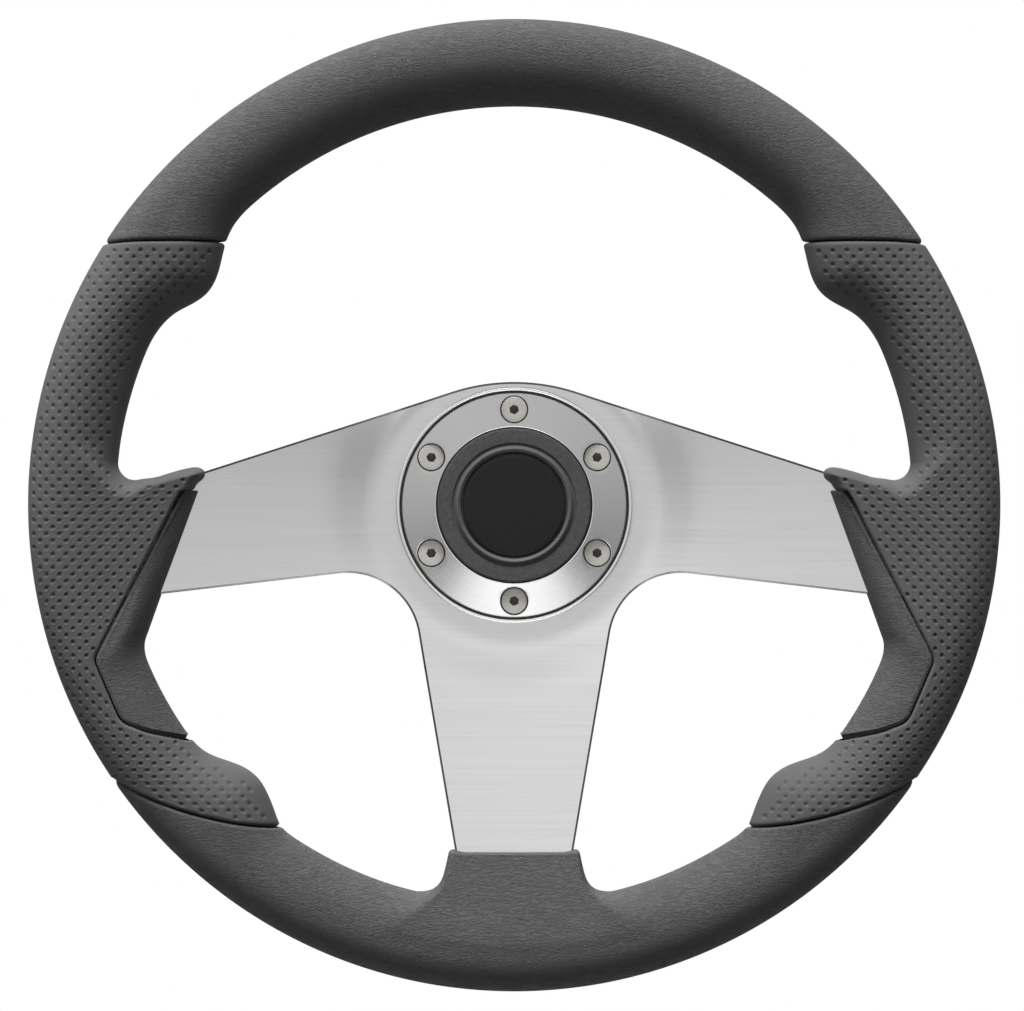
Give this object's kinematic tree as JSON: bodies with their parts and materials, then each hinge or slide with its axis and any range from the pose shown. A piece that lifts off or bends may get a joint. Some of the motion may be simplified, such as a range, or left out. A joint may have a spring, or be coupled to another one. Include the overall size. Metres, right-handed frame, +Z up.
{
  "type": "boat steering wheel",
  "caption": "Three-arm boat steering wheel: dished brushed-metal arms, round soft-grip rim with thumb rests, and a hub with a tapered, keyed shaft bore.",
  "frame": {"origin": "centre of the shaft bore's mouth, in the plane of the hub's back face", "axes": "+Y along the wheel's axis from the front towards the helm, so the front faces -Y; +Z up with the single foot arm pointing down; +X to the right as the helmsman sees it"},
  "size_m": [0.35, 0.089, 0.35],
  "materials": {
    "arm_metal": "brushed along the horizontal, clear anodised",
    "hub_metal": "machined casting",
    "ring_metal": "turned, bright satin",
    "screw_steel": "stainless, satin",
    "core_metal": "mill finish",
    "cover_plastic": "fine texture",
    "cap_plastic": "satin",
    "disc_plastic": "gloss, bare",
    "grip_smooth": "soft moulded skin with leather grain",
    "grip_dimpled": "soft moulded skin with rows of small dimples",
    "seal_rubber": "matt"
  },
  "bodies": {
    "root": {"spoke_plate": "arm_metal", "hub": "hub_metal", "hub_shroud": "cover_plastic", "clamp_ring": "ring_metal", "hub_screws": "screw_steel", "cap_bezel": "cap_plastic", "cap_disc": "disc_plastic", "cap_o_ring": "seal_rubber", "rim_core": "core_metal", "core_rivets": "core_metal", "top_grip": "grip_smooth", "bottom_grip": "grip_smooth", "left_grip": "grip_dimpled", "right_grip": "grip_dimpled", "left_insert": "grip_smooth", "right_insert": "grip_smooth"}
  },
  "joints": []
}
